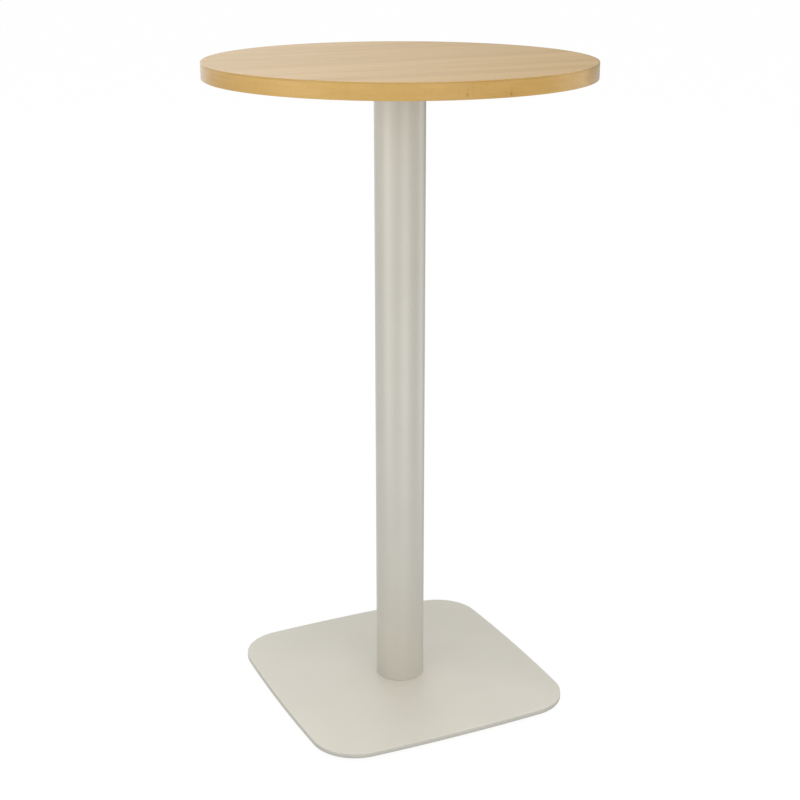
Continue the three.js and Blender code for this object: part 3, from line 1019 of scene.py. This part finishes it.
    def lights(self, settings):
        """Three upright soft boxes round the table and one above it."""
        around = settings.camera_azimuth
        for name, turn, power in (
            ("key_light", -57, settings.key),
            ("fill_light", 24, settings.fill),
            ("rim_light", 112, settings.rim),
        ):
            place = self.around(around + math.radians(turn), 4.0, 1.6)
            self.soft_box(name, place, Vector((0, 0, place.z)), 2.4, 6.0, power)
        above = self.around(around + math.radians(10), 1.0, 4.2)
        self.soft_box("top_light", above, Vector((0, 0, 0)), 3.0, 3.0, settings.top)

    def soft_box(self, name, place, target, wide, tall, power):
        """An area light that faces a target and stays out of the picture."""
        light = bpy.data.lights.new(name, "AREA")
        light.shape = "RECTANGLE"
        light.size = wide
        light.size_y = tall
        light.energy = power
        lamp = bpy.data.objects.new(name, light)
        bpy.context.scene.collection.objects.link(lamp)
        lamp.rotation_euler = (target - place).to_track_quat("-Z", "Y").to_euler()
        lamp.location = place
        lamp.visible_camera = False

    def camera(self, context, settings):
        """The camera at the photograph's place."""
        data = bpy.data.cameras.new("camera")
        data.sensor_fit = "HORIZONTAL"
        data.sensor_width = 36.0
        data.lens = settings.lens
        camera = bpy.data.objects.new("camera", data)
        context.scene.collection.objects.link(camera)
        camera.location = self.around(settings.camera_azimuth, settings.camera_distance, settings.camera_height)
        camera.rotation_euler = (QUARTER_TURN - settings.camera_pitch, 0, settings.camera_azimuth)
        context.scene.camera = camera


class STANDING_TABLE_OT_tabletop(bpy.types.Operator):
    """Round top: veneers on a board, with a band round its edge"""

    bl_idname = "standing_table.tabletop"
    bl_label = "Tabletop"
    sides = 256

    def execute(self, context):
        settings = context.scene.standing_table.tabletop
        low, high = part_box("tabletop_edge_band")
        veneer_low, veneer_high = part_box("tabletop_face_veneer")
        board = veneer_high.x
        thickness = veneer_high.z - veneer_low.z
        veneer = material_named("Face veneer", face_veneer, settings)
        self.veneer("tabletop_face", board, veneer_low.z, thickness, veneer, "tabletop_face_veneer")
        holes = screw_holes(context.scene.standing_table, low.z, low.z + thickness)
        self.veneer("tabletop_underside", board, low.z, thickness, veneer, "tabletop_backing_veneer", holes)
        self.band(settings, board + settings.glue_line, high.x, low.z, high.z)
        refinish(material_named("Chipboard", chipboard, settings), "tabletop_core")
        return {"FINISHED"}

    def veneer(self, name, radius, low, thickness, material, node, holes=()):
        """A thin round sheet with holes."""
        build = turned([(0, low), (radius, low), (radius, low + thickness), (0, low + thickness)], self.sides)
        mesh = carved(name, build, holes) if holes else to_mesh(name, build)
        finish_piece(name, mesh, material, ROOT, "face_veneer", node)

    def band(self, settings, inner, outer, low, high):
        """The edge band, with a map that unrolls it in metres."""
        round_in = outer - settings.arris
        profile = [(inner, low)]
        profile += arc((round_in, low + settings.arris), settings.arris, -QUARTER_TURN, 0, 5)
        profile += arc((round_in, high - settings.arris), settings.arris, 0, QUARTER_TURN, 5)
        profile.append((inner, high))
        mesh = to_mesh("tabletop_edge", turned(profile, self.sides, closed=True), sharp=40.0)
        rim = mesh.uv_layers.new(name="Rim")
        for face in mesh.polygons:
            centre = math.atan2(face.center.y, face.center.x)
            for loop in face.loop_indices:
                point = mesh.vertices[mesh.loops[loop].vertex_index].co
                turn = math.atan2(point.y, point.x)
                turn += 2 * math.pi * round((centre - turn) / (2 * math.pi))
                across = point.z - low + (outer - math.hypot(point.x, point.y))
                rim.data[loop].uv = (turn * outer, across)
        material = material_named("Edge veneer", edge_veneer, settings, outer)
        finish_piece("tabletop_edge", mesh, material, ROOT, "edge_band", "tabletop_edge_band")


class STANDING_TABLE_OT_column(bpy.types.Operator):
    """Round tube with a tapped disc in each end"""

    bl_idname = "standing_table.column"
    bl_label = "Column"
    sides = 160

    def execute(self, context):
        settings = context.scene.standing_table.steel
        low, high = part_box("column_tube")
        outer = high.x
        inner = outer - settings.tube_wall
        arris = settings.tube_arris
        profile = [(inner, low.z)]
        profile += arc((outer - arris, low.z + arris), arris, -QUARTER_TURN, 0, 3)
        profile += arc((outer - arris, high.z - arris), arris, 0, QUARTER_TURN, 3)
        profile.append((inner, high.z))
        mesh = to_mesh("column", turned(profile, self.sides, closed=True), sharp=50.0)
        # Painted shade: the column gets the darker copy of the powder coat.
        paint = material_named("Painted column", painted_steel, settings.column_paint, settings.column_gloss)
        finish_piece("column", mesh, paint, ROOT, "painted_steel", "column_tube")
        refinish(
            material_named("Turned steel", turned_steel, settings),
            "column_head_disc",
            "column_foot_disc",
        )
        return {"FINISHED"}


class STANDING_TABLE_OT_base_plate(bpy.types.Operator):
    """Flat plate with bowed sides and round corners"""

    bl_idname = "standing_table.base_plate"
    bl_label = "Base plate"

    def execute(self, context):
        settings = context.scene.standing_table.steel
        low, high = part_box("base_plate")
        build = plate(self.outline(settings, high.x), low.z, high.z, settings.plate_arris)
        holes = self.bolt_holes(settings, low.z, high.z) + self.glide_holes(settings, low.z)
        mesh = carved("base", build, holes, sharp=40.0)
        paint = material_named("Painted steel", painted_steel, settings.plate_paint, settings.plate_gloss)
        finish_piece("base", mesh, paint, ROOT, "painted_steel", "base_plate")
        return {"FINISHED"}

    def outline(self, settings, half):
        """Four bowed sides and four round corners, arcs that run into each other."""
        side = settings.plate_side_radius
        corner = settings.plate_corner_radius
        inset = side - half
        centre = (math.sqrt(2 * (side - corner) ** 2 - inset**2) - inset) / 2
        end = math.atan2(centre, centre + inset)
        points = []
        for i in range(CORNERS):
            turn = i * QUARTER_TURN
            middle_of_side = (-inset * math.cos(turn), -inset * math.sin(turn))
            points += arc(middle_of_side, side, turn - end, turn + end, 16)[:-1]
            reach = centre * math.sqrt(2)
            middle_of_corner = (reach * math.cos(turn + EIGHTH_TURN), reach * math.sin(turn + EIGHTH_TURN))
            points += arc(middle_of_corner, corner, turn + end, turn + QUARTER_TURN - end, 28)[:-1]
        return points

    def bolt_holes(self, settings, low, high):
        """Countersunk holes from below."""
        diameter = bpy.context.scene.standing_table.fastener.base_bolt
        holes = []
        for node in numbered("base_bolt", CORNERS):
            x, y, *_ = middle(node)
            head = width_of(node) / 2 + settings.hole_clearance
            shank = diameter / 2 + settings.hole_clearance
            holes.append(moved(countersunk_tool(head, shank, high - low), (x, y, low)))
        return holes

    def glide_holes(self, settings, low):
        """Blind tapped holes from below."""
        glide = bpy.context.scene.standing_table.glide
        radius = glide.stud_diameter / 2 + settings.hole_clearance
        holes = []
        for node in numbered("glide_stud", CORNERS):
            x, y, _, tip = middle(node)
            holes.append(moved(drill(radius, low - OVERCUT, tip + OVERCUT), (x, y, 0)))
        return holes


class STANDING_TABLE_OT_spider(bpy.types.Operator):
    """Flat four-armed star under the top"""

    bl_idname = "standing_table.spider"
    bl_label = "Spider"

    def execute(self, context):
        settings = context.scene.standing_table.steel
        fasteners = context.scene.standing_table.fastener
        low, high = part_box("top_spider")
        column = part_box("column_tube")[1].x
        tip = settings.arm_tip_width / 2
        reach = (high.x - tip) * math.sqrt(2) + tip
        outline = self.outline(settings, column + settings.hub_margin, reach - tip)
        build = plate(outline, low.z, high.z, settings.spider_arris)
        holes = []
        for node in numbered("spider_bolt", CORNERS):
            x, y, *_ = middle(node)
            head = width_of(node) / 2 + settings.hole_clearance
            shank = fasteners.spider_bolt / 2 + settings.hole_clearance
            tool = countersunk_tool(head, shank, high.z - low.z)
            holes.append(moved(upended(tool), (x, y, high.z)))
        holes += screw_holes(context.scene.standing_table, low.z, high.z)
        mesh = carved("spider", build, holes, sharp=40.0)
        paint = material_named("Painted steel", painted_steel, settings.plate_paint, settings.plate_gloss)
        finish_piece("spider", mesh, paint, ROOT, "painted_steel", "top_spider")
        return {"FINISHED"}

    def outline(self, settings, start, tip):
        """Tapered arms with round ends and hollow curves between them."""
        tip_radius = settings.arm_tip_width / 2
        root_half = settings.arm_root_width / 2
        taper = (root_half - tip_radius) / (tip - start)
        crotch = (root_half + taper * start) / (1 + taper)
        points = []
        for i in range(CORNERS):
            turn = EIGHTH_TURN + i * QUARTER_TURN
            along = Vector((math.cos(turn), math.sin(turn)))
            across = Vector((-along.y, along.x))
            swing = QUARTER_TURN - math.atan(taper)
            points += arc(along * tip, tip_radius, turn - swing, turn + swing, 24)
            first = along * start + across * root_half
            bend = (along + across) * crotch
            last = along * root_half + across * start
            for step in range(17):
                t = step / 16
                points.append(tuple(first * (1 - t) ** 2 + bend * 2 * t * (1 - t) + last * t**2))
        return points


class STANDING_TABLE_OT_bolts(bpy.types.Operator):
    """Countersunk bolts that hold the spider and the base plate to the column"""

    bl_idname = "standing_table.bolts"
    bl_label = "Bolts"

    def execute(self, context):
        settings = context.scene.standing_table.fastener
        zinc = material_named("Zinc plate", zinc_plate, context.scene.standing_table.steel)
        base_bolt = self.bolt(
            "base_bolt", settings.base_bolt, settings.base_bolt_socket, settings.base_bolt_pitch, zinc
        )
        self.place("base_bolts", base_bolt, numbered("base_bolt", CORNERS), zinc)
        spider_bolt = self.bolt(
            "spider_bolt", settings.spider_bolt, settings.spider_bolt_socket, settings.spider_bolt_pitch, zinc
        )
        spider_bolt.transform(Matrix.Rotation(math.pi, 4, "X"))
        self.place("spider_bolts", spider_bolt, numbered("spider_bolt", CORNERS), zinc, from_top=True)
        return {"FINISHED"}

    def bolt(self, stem, diameter, socket, pitch, finish):
        """A countersunk bolt with a hexagon socket, its head's face at height 0 and pointing up."""
        node = f"{stem}_1"
        low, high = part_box(node)
        head = width_of(node) / 2
        shank = diameter / 2
        depth = head - shank
        rim = 0.03 * head
        core = shank - 0.6 * pitch
        profile = [(0, 0), (head - rim, 0), (head, rim), (shank, depth), (core, depth + pitch / 2)]
        profile += [(core, depth + pitch), (0, depth + pitch)]
        cone = carved(f"{stem}_head", turned(profile, 48), [hexagon(socket, -OVERCUT, depth)])
        reach = high.z - low.z - depth
        thread = thread_mesh(f"{stem}_thread", core, shank, pitch, reach, core, finish)
        thread.transform(Matrix.Translation((0, 0, depth)))
        return welded(stem, cone, thread)

    def place(self, name, shape, nodes, finish, from_top=False):
        """A bolt at each node, turned by chance."""
        places = []
        for node in nodes:
            x, y, low, high = middle(node)
            places.append((x, y, high if from_top else low))
        mesh = copied(name, shape, places, finish)
        finish_piece(name, mesh, finish, ROOT, "zinc_steel", *nodes)


class STANDING_TABLE_OT_spider_screws(bpy.types.Operator):
    """Wood screws that hold the top to the spider"""

    bl_idname = "standing_table.spider_screws"
    bl_label = "Spider screws"

    def execute(self, context):
        settings = context.scene.standing_table.fastener
        zinc = material_named("Zinc plate", zinc_plate, context.scene.standing_table.steel)
        nodes = numbered("spider_screw", 2 * CORNERS)
        places = []
        for node in nodes:
            x, y, low, _ = middle(node)
            places.append((x, y, low + settings.screw_head_height))
        mesh = copied("spider_screws", self.screw(settings, zinc), places, zinc, seed=11)
        finish_piece("spider_screws", mesh, zinc, ROOT, "zinc_steel", *nodes)
        return {"FINISHED"}

    def screw(self, settings, finish):
        """A wood screw, its head's underside at height 0 and pointing up."""
        low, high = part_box("spider_screw_1")
        rim = width_of("spider_screw_1") / 2
        reach = high.z - low.z - settings.screw_head_height
        core = settings.screw_core / 2
        dome = []
        for step in range(9):
            t = step / 8
            radius = rim * (2 * t * (1 - t) + t**2)
            height = -settings.screw_head_height * (1 - t**2) - settings.screw_head_rim * t**2
            dome.append((radius, height))
        shoulder = 0.0003
        profile = [*dome, (rim, -shoulder), (rim - shoulder, 0), (core, 0), (core, 0.001), (0, 0.001)]
        slots = []
        for turn in (0, QUARTER_TURN):
            slot = bmesh.new()
            bmesh.ops.create_cube(slot, size=1.0)
            scale = (settings.screw_recess, settings.screw_recess_width, 2 * settings.screw_recess_depth)
            bmesh.ops.scale(slot, verts=slot.verts, vec=scale)
            bmesh.ops.rotate(slot, verts=slot.verts, matrix=Matrix.Rotation(turn, 3, "Z"))
            slots.append(moved(slot, (0, 0, -settings.screw_head_height)))
        head = carved("spider_screw_head", turned(profile, 40), slots)
        straight = thread_mesh(
            "spider_screw_thread",
            core,
            settings.screw / 2,
            settings.screw_pitch,
            reach - settings.screw_point,
            core,
            finish,
        )
        point = to_mesh(
            "spider_screw_point",
            turned([(0, reach - settings.screw_point), (core, reach - settings.screw_point), (0, reach)], 24),
        )
        return welded("spider_screw", head, straight, point)


class STANDING_TABLE_OT_glides(bpy.types.Operator):
    """Levelling glides: a nylon foot in which the flange of a threaded stud turns"""

    bl_idname = "standing_table.glides"
    bl_label = "Glides"

    def execute(self, context):
        settings = context.scene.standing_table.glide
        zinc = material_named("Zinc plate", zinc_plate, context.scene.standing_table.steel)
        nylon = material_named("Moulded nylon", moulded_nylon, settings)
        for node in numbered("glide_foot", CORNERS):
            x, y, *_ = middle(node)
            mesh = copied(f"{node}_moulding", self.foot(settings), [(x, y, 0)], nylon, turn=0.0)
            finish_piece(f"{node}_moulding", mesh, nylon, node, "nylon", node)
        for node in numbered("glide_stud", CORNERS):
            x, y, *_ = middle(node)
            mesh = copied(f"{node}_thread", self.stud(settings, zinc), [(x, y, 0)], zinc, turn=0.0)
            finish_piece(f"{node}_thread", mesh, zinc, node, "zinc_steel", node)
        return {"FINISHED"}

    def foot(self, settings):
        """A disc with a pocket whose lip holds the flange, standing on the floor."""
        low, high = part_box("glide_foot_1")
        rim = width_of("glide_foot_1") / 2
        top = high.z
        pocket = settings.flange_diameter / 2 + settings.running_fit
        mouth = settings.stud_diameter / 2 + settings.running_fit
        under_lip = top - settings.lip
        curve = settings.foot_round
        profile = [(0, 0), (rim - settings.foot_chamfer, 0), (rim, settings.foot_chamfer)]
        profile += arc((rim - curve, top - curve), curve, 0, QUARTER_TURN, 6)
        profile += [(mouth + 0.0003, top), (mouth, top - 0.0003), (mouth, under_lip), (pocket, under_lip)]
        profile += [(pocket, settings.foot_floor), (0, settings.foot_floor)]
        return to_mesh("glide_foot_shape", turned(profile, 72), sharp=35.0)

    def stud(self, settings, finish):
        """A flange, a chamfered hexagon and a threaded end, at its height above the floor."""
        low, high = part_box("glide_stud_1")
        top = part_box("glide_foot_1")[1].z
        radius = settings.stud_diameter / 2
        flange = settings.flange_diameter / 2
        flange_top = top - settings.lip - settings.seat_gap
        hex_low = top + settings.seat_gap
        hex_high = hex_low + settings.hex_height
        pitch = settings.stud_pitch
        core = radius - 0.6 * pitch
        edge = 0.0002
        profile = [(0, low.z), (flange - edge, low.z), (flange, low.z + edge), (flange, flange_top - edge)]
        profile += [(flange - edge, flange_top), (radius, flange_top), (radius, hex_low), (0, hex_low)]
        spindle = to_mesh("glide_stud_flange", turned(profile, 48))
        point = settings.hex_width / 2 / math.cos(math.pi / 6)
        inner = settings.hex_width / 2
        fall = (point - inner) * math.tan(math.radians(30))
        cone = [(0, hex_low), (inner, hex_low), (point, hex_low + fall), (point, hex_high - fall)]
        cone += [(inner, hex_high), (0, hex_high)]
        nut = carved(
            "glide_stud_nut",
            hexagon(settings.hex_width, hex_low, hex_high),
            [turned(cone, 96)],
            operation="INTERSECT",
        )
        reach = high.z - hex_high
        thread = thread_mesh("glide_stud_screw", core, radius, pitch, reach, core, finish)
        thread.transform(Matrix.Translation((0, 0, hex_high)))
        return welded("glide_stud_shape", spindle, nut, thread)


class STANDING_TABLE_PT_pieces(bpy.types.Panel):
    """Buttons that build the table piece by piece"""

    bl_idname = "STANDING_TABLE_PT_pieces"
    bl_label = "Standing meeting table"
    bl_space_type = "VIEW_3D"
    bl_region_type = "UI"
    bl_category = "Table"

    def draw(self, context):
        column = self.layout.column(align=True)
        for operator in OPERATORS:
            column.operator(operator.bl_idname)


def main():
    """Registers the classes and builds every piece."""
    register()
    bpy.ops.standing_table.stage()
    bpy.ops.standing_table.tabletop()
    bpy.ops.standing_table.column()
    bpy.ops.standing_table.base_plate()
    bpy.ops.standing_table.spider()
    bpy.ops.standing_table.bolts()
    bpy.ops.standing_table.spider_screws()
    bpy.ops.standing_table.glides()


OPERATORS = (
    STANDING_TABLE_OT_stage,
    STANDING_TABLE_OT_tabletop,
    STANDING_TABLE_OT_column,
    STANDING_TABLE_OT_base_plate,
    STANDING_TABLE_OT_spider,
    STANDING_TABLE_OT_bolts,
    STANDING_TABLE_OT_spider_screws,
    STANDING_TABLE_OT_glides,
)

CLASSES = (
    TabletopSettings,
    SteelSettings,
    FastenerSettings,
    GlideSettings,
    StageSettings,
    TableSettings,
    *OPERATORS,
    STANDING_TABLE_PT_pieces,
)


def register():
    """Makes the settings, operators and panel known to Blender."""
    for item in CLASSES:
        bpy.utils.register_class(item)
    bpy.types.Scene.standing_table = bpy.props.PointerProperty(type=TableSettings)


def unregister():
    """Takes them away again."""
    del bpy.types.Scene.standing_table
    for item in reversed(CLASSES):
        bpy.utils.unregister_class(item)


if __name__ == "__main__":
    main()
